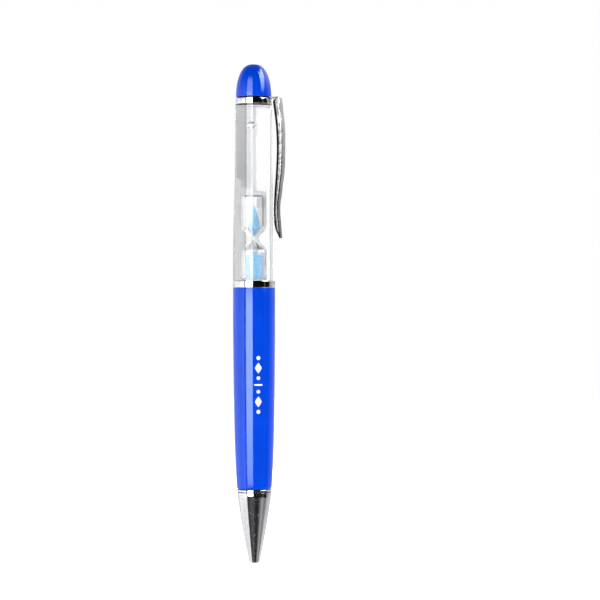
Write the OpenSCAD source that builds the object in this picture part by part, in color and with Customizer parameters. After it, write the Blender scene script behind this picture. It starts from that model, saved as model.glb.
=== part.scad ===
// Twist-action ballpoint pen whose upper barrel is a clear, oil-filled window
// with a small glass hourglass sinking through it.
// Frame: origin on the pen's axis at the parting plane, where the two halves
// turn against each other. +Z runs along the pen towards the domed cap, +X
// towards the pocket clip. Millimetres.

/* [Outside] */
// Length of the nose cone below its rim
nose_len = 19.85; // [19.5:0.05:21]
// Length of the coloured lower barrel
grip_len = 56.7; // [56:0.1:60]
// Height of the centre ring
ring_h = 1.9; // [1.6:0.05:2.6]
// Visible length of the clear upper barrel
window_len = 49.5; // [48.5:0.1:54]
// Height of the domed cap
cap_len = 9.25; // [8.6:0.05:11]
// Radius of the lower barrel at the parting plane
barrel_r = 5.93; // [5.9:0.01:6.4]
// Radius of the clear barrel at its top
top_r = 5.15; // [5.1:0.01:5.3]
// Radius of the nose's end face, outside
tip_r = 1.45; // [1.42:0.01:1.7]
// Radius of the top of the nose cone
cone_r = 4.8; // [4.7:0.01:4.9]

/* [Oil chamber] */
// Radius of the bore that holds the oil
chamber_r = 3.7; // [3.6:0.05:3.8]
// Length of the hourglass vial
vial_len = 26.25; // [24:0.25:30]
// Outside radius of the vial
vial_r = 2.7; // [2.5:0.05:2.9]
// Wall of the vial
vial_wall = 0.3; // [0.25:0.05:0.45]
vial_top_wall = 1.0; // [0.5:0.1:1.5]
vial_base_wall = 1.6; // [0.5:0.1:2]
// Radius of the orifice between the two bulbs
orifice_r = 0.3; // [0.25:0.05:0.45]

/* [Twist mechanism] */
// Turn of the upper half from retracted to extended, in degrees
twist_deg = 150; // [120:5:150]
// Travel of the refill over that turn
feed = 4.8; // [4:0.1:5]
// How far inside the nose the ball sits when retracted
ball_in = 1.8; // [1.5:0.1:2.2]
// Radius of the cam follower's two pins
pin_r = 0.45; // [0.35:0.05:0.5]

/* [Pocket clip] */
// Width of the clip over most of its length
clip_w = 4.2; // [3.6:0.1:4.6]
// Width of the clip at its waist
clip_w_waist = 3.4; // [2.8:0.1:3.6]
// Thickness of the clip's sheet
clip_t = 0.38; // [0.3:0.02:0.44]

/* [Hidden] */
$fn = 96;

// running gap between pieces that only touch
g = 0.02;

// heights along the pen, from the parting plane
z_low = -grip_len;
z_rim = z_low - 0.05;
z_tip = z_rim - 0.6 - nose_len;
z_ring0 = 0.05;
z_ring1 = z_ring0 + ring_h;
z_win0 = z_ring1 + 0.05;
z_win1 = z_win0 + window_len;
z_cring1 = z_win1 + g + 1.6;
z_clipw0 = z_cring1 + 0.03;
z_clipw1 = z_clipw0 + 0.35;
z_cap0 = z_clipw1 + 0.03;
z_cap1 = z_cap0 + cap_len;
ring_r = barrel_r + 0.02;
cap_ring_r = top_r - 0.09;
cap_r = top_r - 0.15;

// oil chamber
z_ch0 = 0.5;                  // top of the lower plug
z_ch1 = z_win1 - 3.1;         // bottom of the fill plug
z_vial = z_ch0 + 0.1;         // bottom of the vial at rest
spigot_r = 4.75;              // clear barrel below its shoulder
spigot_z0 = -11.1;
neck_r = 4.25;                // clear barrel above its top shoulder
z_neck1 = z_win1 + 4.6;

// lower barrel bores and mechanism
low_bore_r = 4.15;
top_bore_r = 4.87;
groove_r = 5.25;              // groove for the retaining ring
lip_r = 4.6;                  // inside of the lip on the nose's rim
z_groove = -7.1;
z_step = z_low + 25.3;        // step that the guide sleeve stands on
cam_r = 3.2;
cam_bore_r = 2.3;
z_cam1 = z_ch0 - 6.1;         // top of the cam
z_cam0 = z_step + 4.0;
z_pin = z_cam1 - 10.5;        // height of the follower's pins, retracted
slot_h = 2 * (pin_r + 0.2);   // slot height along the axis

// nose and refill
stub_r = 3.55;
stub_len = 6.9;
z_ball = z_tip + ball_in;
z_seat = z_tip + 9.3;         // seat of the return spring
spring_r = 1.9;
wire_r = 0.2;
tube_r = 1.5;
tube_bore = 1.05;
point_r = 1.12;
z_tube0 = z_ball + 7.7;
z_ears = z_ball + 27.2;
z_tube1 = z_cam1 - 3.0;

// ---------- helpers ----------
function cr(a, b, c, d, t) =
    0.5 * (2 * b + (c - a) * t + (2 * a - 5 * b + 4 * c - d) * t * t + (3 * b - a - 3 * c + d) * t * t * t);
// smooth curve through the points P, n steps between each two
function curve(P, n) = concat(
    [for (i = [0 : len(P) - 2], k = [0 : n - 1])
        cr(P[max(i - 1, 0)], P[i], P[i + 1], P[min(i + 2, len(P) - 1)], k / n)],
    [P[len(P) - 1]]);
function flip(P) = [for (i = [len(P) - 1 : -1 : 0]) P[i]];
// quarter round from angle a to b about c
function arc(c, r, a, b, n = 6) = [for (i = [0 : n]) let (t = a + (b - a) * i / n) [c[0] + r * cos(t), c[1] + r * sin(t)]];

module lathe(P) rotate_extrude() polygon(P);
module tube(r1, r0, z0, z1) difference() {
    translate([0, 0, z0]) cylinder(r = r1, h = z1 - z0);
    translate([0, 0, z0 - 1]) cylinder(r = r0, h = z1 - z0 + 2);
}
module oring(R, r, z) translate([0, 0, z]) rotate_extrude() translate([R, 0]) circle(r = r);

// clear barrel, bottom to top: radius above top_r and share of the length
window_pts = [[0.73, 0], [0.72, 0.06], [0.65, 0.23], [0.45, 0.434], [0.27, 0.537], [0.15, 0.63], [0.06, 0.855], [0, 1]];
function window_outline() = [for (p = curve(window_pts, 4)) [top_r + p[0], z_win0 + p[1] * window_len]];

// lower barrel, bottom to top: radius below barrel_r and height above its mouth;
// its last 11.2 mm is a true cylinder
grip_pts = [[1.13, 0], [1.01, 0.9], [0.8, 4.3], [0.59, 9.4], [0.36, 16.7], [0.18, 27.9], [0.05, 39.7], [0, 45.5]];
function grip_outline() = concat([for (p = curve(grip_pts, 4)) [barrel_r - p[0], z_low + p[1] * (grip_len - 11.2) / 45.5]], [[barrel_r, 0]]);

// ---------- cap end ----------
module end_cap() color([0.0, 0.2, 0.85]) {
    outer = [for (i = [0 : 28]) let (t = 90 * i / 28) [cap_r * pow(cos(t), 0.75), z_cap0 + 0.1 + (cap_len - 0.1) * sin(t)]];
    inner = [for (i = [0 : 10]) let (t = 90 * i / 10) [4.3 * cos(t), z_neck1 + 1.15 + (z_cap1 - 1.4 - z_neck1 - 1.15) * sin(t)]];
    lathe(concat([[4.3, z_cap0], [cap_r - 0.08, z_cap0]],
                 [for (i = [0 : 27]) outer[i]], [[0, z_cap1]], [[0, z_cap1 - 1.4]],
                 flip([for (i = [0 : 9]) inner[i]])));
}

module cap_ring() color([0.8, 0.8, 0.82]) {
    a = z_win1 + g;
    b = z_cring1;
    r = cap_ring_r;
    lathe([[neck_r + g, a], [r - 0.09, a], [r, a + 0.09], [r, b - 0.09], [r - 0.09, b], [neck_r + g, b]]);
}

// washer under the cap, with a tab and a tenon that carries the clip
module clip_bracket() color([0.7, 0.7, 0.72]) difference() {
    union() {
        translate([0, 0, z_clipw0]) cylinder(r = cap_r - 0.28, h = z_clipw1 - z_clipw0);
        translate([0, -clip_w / 2 + 0.3, z_clipw0]) cube([x_bend - clip_t - 0.1, clip_w - 0.6, z_clipw1 - z_clipw0]);
        translate([0, -0.8, z_clipw0]) cube([x_bend - 0.03, 1.6, z_clipw1 - z_clipw0]);
    }
    translate([0, 0, z_clipw0 - 1]) cylinder(r = neck_r + 0.05, h = 3);
}

// side view of the clip: x from the pen's axis, depth below the washer's middle
x_bend = 7.8;
clip_out = [[x_bend, 0], [x_bend + 0.02, 0.6], [8.03, 2.0], [8.22, 4.2], [8.55, 6.9], [8.7, 9.6], [8.72, 12.8], [8.68, 16.4],
            [8.55, 19.7], [8.33, 22.3], [8.02, 24.5], [7.75, 27.2], [7.43, 29.3], [7.32, 30.9], [7.37, 32.9], [7.53, 34.8],
            [7.71, 37.1], [7.95, 39.4]];
clip_in = [[5.95, 0.75], [6.1, 1.9], [6.42, 4.2], [6.8, 7.4], [7.02, 10.6], [7.1, 14.0], [7.03, 17.5], [6.85, 20.7],
           [6.7, 22.9], [6.4, 26.1], [6.2, 29.3], [6.16, 31.5], [6.18, 33.4], [6.3, 35.5], [6.62, 37.0], [7.25, 38.5], [7.66, 39.5]];
z_clip = (z_clipw0 + z_clipw1) / 2;
function down(P) = [for (p = P) [p[0], z_clip - p[1]]];
module side_plate(P, w) rotate([90, 0, 0]) translate([0, 0, -w / 2]) linear_extrude(w) polygon(P);
// front view of the clip: half width against depth, less the inset e
function half_w(e) = let (a = clip_w / 2 - e, b = clip_w_waist / 2 - e)
    [[a - 0.25, -2], [a, 1], [a, 19], [a - 0.05, 22.5], [(a + b) / 2, 26], [b, 30.9], [b + 0.02, 35], [b - 0.12, 38], [b - 0.6, 41]];
module front_plate(e) translate([4, 0, 0]) rotate([90, 0, 90]) linear_extrude(8)
    polygon(concat([for (p = half_w(e)) [p[0], z_clip - p[1]]], flip([for (p = half_w(e)) [-p[0], z_clip - p[1]]])));

module pocket_clip() color([0.72, 0.72, 0.74]) difference() {
    union() {
        difference() {
            intersection() {
                side_plate(concat(down(curve(clip_out, 2)), flip(down(curve(clip_in, 2))),
                                  [[x_bend - clip_t - 0.1, z_clip - 0.45], [x_bend - clip_t, z_clip + 0.17], [x_bend - 0.05, z_clip + 0.17]]), 8);
                front_plate(0);
            }
            // hollow behind the outer face, down to the foot
            intersection() {
                side_plate(concat([[5, z_clip + 1], [x_bend - clip_t, z_clip + 1]],
                                  [for (p = down(curve(clip_out, 2))) if (p[1] > z_clip - 36) [p[0] - clip_t, p[1]]],
                                  [[7.1, z_clip - 36.4], [5, z_clip - 36.4]]), 8);
                front_plate(clip_t);
            }
        }
        // dimple that bears on the cloth of a pocket
        translate([6.55, 0, z_clip - 32.6]) sphere(r = 0.72);
    }
    // slot for the bracket's tenon
    translate([6.5, -0.92, z_clipw0 - 0.12]) cube([2, 1.84, z_clipw1 - z_clipw0 + 0.5]);
}

// ---------- clear upper barrel and what it holds ----------
module clear_barrel() color([0.9, 0.94, 0.96, 0.35])
    lathe(concat([[chamber_r, spigot_z0], [spigot_r - 0.2, spigot_z0], [spigot_r, spigot_z0 + 0.2],
                  [spigot_r, z_groove - 0.02], [spigot_r - 0.4, z_groove - 0.02], [spigot_r - 0.4, z_groove + 1.02], [spigot_r, z_groove + 1.02],
                  [spigot_r, -3.7], [spigot_r - 0.4, -3.6], [spigot_r - 0.4, -2.9], [spigot_r, -2.8],
                  [spigot_r, z_win0 - g], [top_r + 0.6, z_win0 - g]],
                 window_outline(),
                 [[neck_r, z_win1], [neck_r, z_neck1], [chamber_r, z_neck1]]));

module fill_plug() color([0.92, 0.92, 0.92])
    lathe([[0, z_ch1], [chamber_r - 0.25, z_ch1], [chamber_r - g, z_ch1 + 0.25], [chamber_r - g, z_ch1 + 2.0],
           [chamber_r - 0.55, z_ch1 + 2.05], [chamber_r - 0.55, z_ch1 + 2.75], [chamber_r - g, z_ch1 + 2.8],
           [chamber_r - g, z_neck1 + 0.05], [neck_r - 0.05, z_neck1 + 0.05], [neck_r - 0.05, z_neck1 + 0.85], [1.2, z_neck1 + 0.85],
           [1.2, z_ch1 + 1.2], [0, z_ch1 + 0.9]]);

module fill_plug_seal() color([0.9, 0.92, 0.93]) oring(chamber_r - 0.28, 0.25, z_ch1 + 2.4);

// outline of the vial, up from its middle: outside, then the inside of a bulb whose end wall is t thick
half = vial_len / 2;
vin = vial_r - vial_wall;
vial_out = concat(curve([[1.0, 0], [1.1, 0.6], [1.5, 1.4], [2.1, 2.3], [vial_r - 0.12, 3.1], [vial_r, 3.9]], 4),
                  arc([vial_r - 0.9, half - 0.9], 0.9, 0, 90, 8), [[0, half]]);
function vial_in(t) = concat(curve([[orifice_r, 0], [orifice_r + 0.04, 0.5], [0.85, 1.35], [1.55, 2.3], [vin - 0.16, 3.2], [vin, 4.0]], 4),
                             arc([vin - 0.6, half - t - 0.6], 0.6, 0, 90, 6), [[0, half - t]]);
z_waist = z_vial + half;
function above(P) = [for (p = P) [p[0], z_waist + p[1]]];
function below(P) = [for (p = P) [p[0], z_waist - p[1]]];

// one sealed piece of glass: both bulbs, the orifice between them and their closed ends
module hourglass_glass() color([0.9, 0.96, 1.0, 0.35]) {
    o = concat(flip(below(vial_out)), [for (i = [1 : len(vial_out) - 1]) above(vial_out)[i]]);
    top = above(vial_in(vial_top_wall));
    n = concat(flip(below(vial_in(vial_base_wall))), [for (i = [1 : len(top) - 1]) top[i]]);
    lathe(concat(o, flip(n)));
}

// inner outline of a bulb with a small gap, between heights a and b from the middle
function bulb(t, a, b) = [for (p = vial_in(t)) if (p[1] > a && p[1] < b) [p[0] - 0.03, p[1]]];

// sand not yet run: a steep, narrow heap in the funnel of the upper bulb
module sand_upper() color([0.35, 0.68, 0.93])
    lathe(concat([[0, z_waist + 0.7], [orifice_r - 0.03, z_waist + 0.7]], above(bulb(vial_top_wall, 0.9, 2.6)),
                 above(curve([[1.74, 3.0], [1.6, 4.0], [1.38, 5.0], [1.14, 6.0], [0.88, 7.0], [0.61, 8.0], [0.33, 8.85], [0, 9.3]], 3))));

z_sand0 = z_waist - half + vial_base_wall + 0.05;
// sand already run: it fills the lower bulb to a low heap under the orifice
module sand_lower() color([0.35, 0.68, 0.93])
    lathe(concat([[0, z_sand0]], [for (p = flip(below(bulb(vial_base_wall, 4.7, half - vial_base_wall - 0.01)))) [p[0], max(p[1], z_sand0)]],
                 below(curve([[vin - 0.04, 4.6], [1.5, 4.3], [0.8, 3.85], [0.3, 3.5], [0, 3.4]], 3))));

// the oil fills the chamber round the vial
module clear_oil() color([0.95, 0.97, 0.98, 0.2]) {
    o = concat(flip(below(vial_out)), [for (i = [1 : len(vial_out) - 1]) above(vial_out)[i]]);
    last = len(o) - 1;
    lathe(concat([[0, z_ch0 + 0.05], [chamber_r - 0.03, z_ch0 + 0.05], [chamber_r - 0.03, z_ch1 - 0.05], [0, z_ch1 - 0.05], [0, z_waist + half + 0.04]],
                 [for (i = [last - 1 : -1 : 1]) [o[i][0] + 0.04, o[i][1] + (i > last / 2 ? 0.02 : -0.02)]],
                 [[0, z_waist - half - 0.04]]));
}

module chamber_plug() color([0.92, 0.92, 0.92])
    lathe([[0, z_ch0 - 6.0], [chamber_r - 0.2, z_ch0 - 6.0], [chamber_r - g, z_ch0 - 5.8], [chamber_r - g, z_ch0 - 3.4],
           [chamber_r - 0.55, z_ch0 - 3.35], [chamber_r - 0.55, z_ch0 - 2.65], [chamber_r - g, z_ch0 - 2.6],
           [chamber_r - g, z_ch0 - 0.25], [chamber_r - 0.25, z_ch0], [0, z_ch0]]);

module chamber_plug_seal() color([0.1, 0.1, 0.1]) oring(chamber_r - 0.28, 0.25, z_ch0 - 3.0);

module centre_ring() color([0.8, 0.8, 0.82]) difference() {
    union() {
        translate([0, 0, z_ring0 + 0.1]) cylinder(r = ring_r, h = ring_h - 0.2);
        translate([0, 0, z_ring0]) cylinder(r1 = ring_r - 0.08, r2 = ring_r, h = 0.1);
        translate([0, 0, z_ring1 - 0.1]) cylinder(r1 = ring_r, r2 = ring_r - 0.08, h = 0.1);
    }
    translate([0, 0, z_ring0 - 1]) cylinder(r = spigot_r + g, h = ring_h + 2);
}

// split ring that sits in the lower barrel's groove and keeps the spigot in
module retaining_ring() color([0.7, 0.7, 0.72]) difference() {
    tube(groove_r - 0.06, spigot_r - 0.3, z_groove + 0.1, z_groove + 0.9);
    translate([0, 0, z_groove - 1]) linear_extrude(3) polygon([[0, 0], [-8, 2.2], [-8, -2.2]]);
}

// O-ring in the spigot's upper groove that gives the twist its drag
module twist_drag_ring() color([0.1, 0.1, 0.1]) oring(spigot_r - 0.16, 0.22, -3.25);

// ---------- twist mechanism ----------
// cutter for one helical slot, centred on the follower's pin at rest
module helical_slot(a0) {
    turn = twist_deg * (feed + slot_h) / feed;      // turn over the slot's whole height
    w = twist_deg * slot_h / feed;                  // width of a level slice, in degrees
    start = a0 + twist_deg * (1 + slot_h / 2 / feed);
    translate([0, 0, z_pin - feed - slot_h / 2]) rotate([0, 0, start])
        linear_extrude(height = feed + slot_h, twist = turn, slices = 40, segments = 10, convexity = 6)
            polygon(concat([for (i = [0 : 4]) let (t = -w / 2 + w * i / 4) 4.2 * [cos(t), sin(t)]],
                           [for (i = [4 : -1 : 0]) let (t = -w / 2 + w * i / 4) 1.6 * [cos(t), sin(t)]]));
}

module twist_cam() color([0.95, 0.95, 0.93]) difference() {
    union() {
        translate([0, 0, z_cam0]) cylinder(r = cam_r, h = z_cam1 - z_cam0);
        translate([0, 0, spigot_z0 + 0.3]) cylinder(r = chamber_r - g, h = z_cam1 - spigot_z0 - 0.3);
    }
    translate([0, 0, z_cam0 - 1]) cylinder(r = cam_bore_r, h = z_cam1 - z_cam0 + 0.2);
    helical_slot(0);
    helical_slot(180);
}

module guide_sleeve() color([0.83, 0.66, 0.3]) difference() {
    translate([0, 0, z_step + 0.05]) cylinder(r = top_bore_r - g, h = spigot_z0 - 0.3 - z_step);
    translate([0, 0, z_step - 1]) cylinder(r = cam_r + 0.08, h = 40);
    translate([-4.15, -pin_r - 0.08, z_step - 1]) cube([8.3, 2 * pin_r + 0.16, 40]);
}

module cam_follower() color([0.15, 0.15, 0.16]) difference() {
    union() {
        translate([0, 0, z_pin - 8]) cylinder(r = cam_bore_r - 0.08, h = z_cam1 - 1.1 - z_pin + 8);
        translate([-4.05, 0, z_pin]) rotate([0, 90, 0]) cylinder(r = pin_r, h = 8.1);
    }
    translate([0, 0, z_pin - 9]) cylinder(r = tube_r + 0.04, h = z_tube1 + g - z_pin + 9);
}

// ---------- lower barrel and nose ----------
module lower_barrel() color([0.0, 0.2, 0.85])
    // its mouth is stepped back, which leaves a thin shadow gap above the nose's rim
    lathe(concat([[low_bore_r, z_low], [lip_r - 0.05, z_low], [lip_r - 0.05, z_low + 0.42], [barrel_r - 1.14, z_low + 0.42], [barrel_r - 1.08, z_low + 0.48]],
                 [for (p = grip_outline()) if (p[1] > z_low + 0.6) p],
                 [[top_bore_r, 0], [top_bore_r, z_groove + 1], [groove_r, z_groove + 1], [groove_r, z_groove], [top_bore_r, z_groove],
                  [top_bore_r, z_step], [low_bore_r, z_step]]));

// threaded brass bush in the barrel's mouth
module nose_insert() color([0.83, 0.66, 0.3]) difference() {
    union() {
        translate([0, 0, z_low + 0.9]) cylinder(r = low_bore_r - g, h = 7.2);
        for (k = [0 : 4]) translate([0, 0, z_low + 8.1 + k * 0.4]) cylinder(r1 = low_bore_r - 0.1, r2 = low_bore_r - 0.3, h = 0.3);
        translate([0, 0, z_low + 8.1]) cylinder(r = low_bore_r - 0.32, h = 2.0);
    }
    translate([0, 0, z_low - 1]) cylinder(r = stub_r + 0.06, h = 14);
}

module nose_seal() color([0.1, 0.1, 0.1]) oring(stub_r + 0.26, 0.2, z_low + 0.35);

// slightly barrelled cone, then a steeper band under the rim
function cone_outline() = let (r1 = cone_r - 0.06, a = z_tip + 0.12, b = z_rim - 1.75)
    [for (i = [0 : 12]) let (s = i / 12) [tip_r + (r1 - tip_r) * s + 0.17 * sin(180 * s), a + (b - a) * s]];
// chrome cone with its rim and threaded stub
module nose_cone() color([0.8, 0.8, 0.82]) difference() {
    union() {
        lathe(concat([[0, z_tip], [tip_r - 0.1, z_tip]], cone_outline(),
                     [[cone_r - 0.01, z_rim - 0.68], [cone_r - 0.18, z_rim - 0.63], [cone_r - 0.18, z_rim - 0.47],
                      [cone_r + 0.07, z_rim - 0.45], [cone_r + 0.13, z_rim - 0.39], [cone_r + 0.13, z_rim + 0.09], [cone_r + 0.07, z_rim + 0.15],
                      [lip_r, z_rim + 0.15], [lip_r, z_rim], [stub_r - 0.15, z_rim], [stub_r - 0.15, z_rim + 0.9], [0, z_rim + 0.9]]));
        translate([0, 0, z_rim + 0.5]) cylinder(r = stub_r - 0.3, h = stub_len - 0.5);
        for (k = [0 : 7]) translate([0, 0, z_rim + 1.0 + k * 0.7]) {
            cylinder(r1 = stub_r - 0.28, r2 = stub_r, h = 0.28);
            translate([0, 0, 0.28]) cylinder(r1 = stub_r, r2 = stub_r - 0.28, h = 0.28);
        }
    }
    translate([0, 0, z_tip - 1]) cylinder(r = point_r + 0.08, h = 6);
    translate([0, 0, z_tip + 2.3]) cylinder(r = tube_r + 0.12, h = 10);
    translate([0, 0, z_seat]) cylinder(r = spring_r + wire_r + 0.18, h = 40);
}

// compression spring: two close end coils each end, open coils between
spring_len = z_ears - z_seat - 0.1;
spring_turns = 11;
function spring_z(t) = let (e = 1.5 / spring_turns, c = 1.5 * (2 * wire_r + 0.03))
    t < e ? c * t / e : t > 1 - e ? spring_len - 2 * wire_r - c * (1 - t) / e
    : c + (spring_len - 2 * wire_r - 2 * c) * (t - e) / (1 - 2 * e);
module return_spring() color([0.7, 0.7, 0.72]) {
    n = spring_turns * 14;
    m = 6;
    pts = [for (i = [0 : n], j = [0 : m - 1]) let (a = 360 * spring_turns * i / n, b = 360 * j / m, r = spring_r + wire_r * cos(b))
        [r * cos(a), r * sin(a), z_seat + 0.05 + wire_r + spring_z(i / n) + wire_r * sin(b)]];
    faces = concat(
        [for (i = [0 : n - 1], j = [0 : m - 1], k = [0, 1]) let (a = i * m + j, b = i * m + (j + 1) % m, c = a + m, d = b + m)
            k == 0 ? [a, b, d] : [a, d, c]],
        [for (j = [1 : m - 2]) [0, j + 1, j]],
        [for (j = [1 : m - 2]) [n * m, n * m + j, n * m + j + 1]]);
    polyhedron(points = pts, faces = faces, convexity = 10);
}

// ---------- refill ----------
module refill_tube() color([0.9, 0.9, 0.92, 0.6]) difference() {
    union() {
        translate([0, 0, z_tube0]) cylinder(r = tube_r, h = z_tube1 - z_tube0);
        // crimped ears that the spring pushes on
        intersection() {
            translate([0, 0, z_ears]) cylinder(r = spring_r + wire_r - 0.02, h = 1.4);
            translate([-3, -0.75, z_ears - 1]) cube([6, 1.5, 4]);
        }
    }
    translate([0, 0, z_tube0 - 1]) cylinder(r = tube_bore, h = z_tube1 - z_tube0 + 2);
}

module refill_ink() color([0.03, 0.05, 0.35])
    translate([0, 0, z_tube0 + 5.0]) cylinder(r = tube_bore - g, h = 34);

module refill_point() color([0.78, 0.72, 0.55]) difference() {
    lathe([[0, z_ball + 0.25], [0.42, z_ball + 0.25], [0.48, z_ball + 0.4], [point_r - 0.04, z_ball + 2.5], [point_r, z_ball + 2.7], [point_r, z_ball + 5.6],
           [1.3, z_ball + 5.7], [1.3, z_tube0 - 0.05], [tube_bore - g, z_tube0 - 0.05], [tube_bore - g, z_tube0 + 4.6], [0, z_tube0 + 4.6]]);
    translate([0, 0, z_ball + 2.4]) cylinder(r = 0.45, h = 30);
    translate([0, 0, z_ball - 1]) cylinder(r = 0.38, h = 1.9);
    translate([0, 0, z_ball + 0.5]) cylinder(r = 0.14, h = 3);
}

module refill_ball() color([0.75, 0.75, 0.78]) translate([0, 0, z_ball + 0.35]) sphere(r = 0.35);

module refill_vent_plug() color([0.95, 0.95, 0.95]) difference() {
    translate([0, 0, z_tube1 - 2.2]) cylinder(r = tube_bore - g, h = 2.2);
    translate([0, 0, z_tube1 - 3]) cylinder(r = 0.3, h = 4);
}

end_cap();
cap_ring();
clip_bracket();
pocket_clip();
clear_barrel();
fill_plug();
fill_plug_seal();
clear_oil();
hourglass_glass();
sand_upper();
sand_lower();
chamber_plug();
chamber_plug_seal();
centre_ring();
retaining_ring();
twist_drag_ring();
twist_cam();
guide_sleeve();
cam_follower();
lower_barrel();
nose_insert();
nose_seal();
nose_cone();
return_spring();
refill_tube();
refill_ink();
refill_point();
refill_ball();
refill_vent_plug();
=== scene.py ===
import math
import random

import bmesh
import bpy
import numpy as np
from mathutils import Matrix, Quaternion, Vector


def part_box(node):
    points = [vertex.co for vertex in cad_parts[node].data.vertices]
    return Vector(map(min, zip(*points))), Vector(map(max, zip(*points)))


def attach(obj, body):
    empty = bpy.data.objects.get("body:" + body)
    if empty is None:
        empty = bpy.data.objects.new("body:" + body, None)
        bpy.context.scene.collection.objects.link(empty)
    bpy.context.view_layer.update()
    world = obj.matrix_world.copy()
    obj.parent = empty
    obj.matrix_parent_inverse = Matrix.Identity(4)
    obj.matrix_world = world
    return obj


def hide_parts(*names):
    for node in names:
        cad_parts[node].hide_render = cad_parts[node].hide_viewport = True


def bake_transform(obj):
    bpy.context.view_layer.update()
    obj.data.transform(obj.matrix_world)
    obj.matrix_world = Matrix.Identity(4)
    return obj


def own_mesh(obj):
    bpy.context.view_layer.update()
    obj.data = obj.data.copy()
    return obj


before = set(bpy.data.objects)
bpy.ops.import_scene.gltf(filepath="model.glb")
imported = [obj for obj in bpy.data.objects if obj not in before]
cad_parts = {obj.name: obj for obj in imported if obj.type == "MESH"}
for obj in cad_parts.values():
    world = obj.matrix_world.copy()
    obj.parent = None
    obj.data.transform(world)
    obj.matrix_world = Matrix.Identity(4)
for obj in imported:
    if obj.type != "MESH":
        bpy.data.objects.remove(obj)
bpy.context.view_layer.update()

MM = 0.001
AZ = math.radians(12.0)                                   # the camera stands 12 degrees round from -Y towards the clip
RIGHT = Vector((math.cos(AZ), math.sin(AZ), 0.0))
TOWARD = Vector((math.sin(AZ), -math.cos(AZ), 0.0))
N_ACRYLIC, N_OIL, N_GLASS = 1.49, 1.40, 1.50


def zs(node):
    lo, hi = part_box(node)
    return lo.z / MM, hi.z / MM


# heights and radii that everything below hangs on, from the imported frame, in millimetres
Z_LOW, Z_MID = zs("lower_barrel")
Z_RING0, Z_RING1 = zs("centre_ring")
Z_CR0, Z_CR1 = zs("cap_ring")
Z_W0, Z_W1 = zs("clip_bracket")
Z_CAP0, Z_CAP1 = zs("end_cap")
Z_TIP = zs("nose_cone")[0]
Z_SPIGOT, Z_NECK = zs("clear_barrel")
Z_OIL0, Z_OIL1 = zs("clear_oil")
Z_VIAL0, Z_VIAL1 = zs("hourglass_glass")
Z_PLUG0, Z_PLUG1 = zs("fill_plug")
Z_WIN0, Z_WIN1 = Z_RING1 + 0.05, Z_CR0 - 0.02
Z_RIM = Z_LOW - 0.05
BORE_R = 3.7


# ------------------------------------------------------------------ profiles
def cr(a, b, c, d, t):
    return 0.5 * (2 * b + (c - a) * t + (2 * a - 5 * b + 4 * c - d) * t * t + (3 * b - a - 3 * c + d) * t ** 3)


def curve(P, n):
    out = []
    for i in range(len(P) - 1):
        p, q, r, s = P[max(i - 1, 0)], P[i], P[i + 1], P[min(i + 2, len(P) - 1)]
        for k in range(n):
            out.append(tuple(cr(p[m], q[m], r[m], s[m], k / n) for m in range(len(q))))
    return out + [tuple(P[-1])]


def arc(c, r, a, b, n=8):
    return [(c[0] + r * math.cos(math.radians(a + (b - a) * i / n)), c[1] + r * math.sin(math.radians(a + (b - a) * i / n))) for i in range(n + 1)]


def fillet(P, radii, n=6, closed=True):
    """Rounds the corners of a polyline: radii maps an index to the corner's radius."""
    out, L = [], len(P)
    for i, p in enumerate(P):
        r = radii.get(i, 0)
        if not r or (not closed and i in (0, L - 1)):
            out.append(p)
            continue
        p = np.array(p, float)
        a, b = np.array(P[i - 1], float), np.array(P[(i + 1) % L], float)
        u, v = (a - p), (b - p)
        lu, lv = np.linalg.norm(u), np.linalg.norm(v)
        u, v = u / lu, v / lv
        half = math.acos(max(-1, min(1, float(u @ v)))) / 2
        if half > math.radians(88):
            out.append(tuple(p))
            continue
        d = min(r / math.tan(half), 0.45 * lu, 0.45 * lv)
        r = d * math.tan(half)
        m = (u + v) / np.linalg.norm(u + v)
        c = p + m * r / math.sin(half)
        s, e = p + u * d - c, p + v * d - c
        a0, a1 = math.atan2(s[1], s[0]), math.atan2(e[1], e[0])
        da = (a1 - a0 + math.pi) % (2 * math.pi) - math.pi
        out += [(c[0] + r * math.cos(a0 + da * k / n), c[1] + r * math.sin(a0 + da * k / n)) for k in range(n + 1)]
    return out


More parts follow.
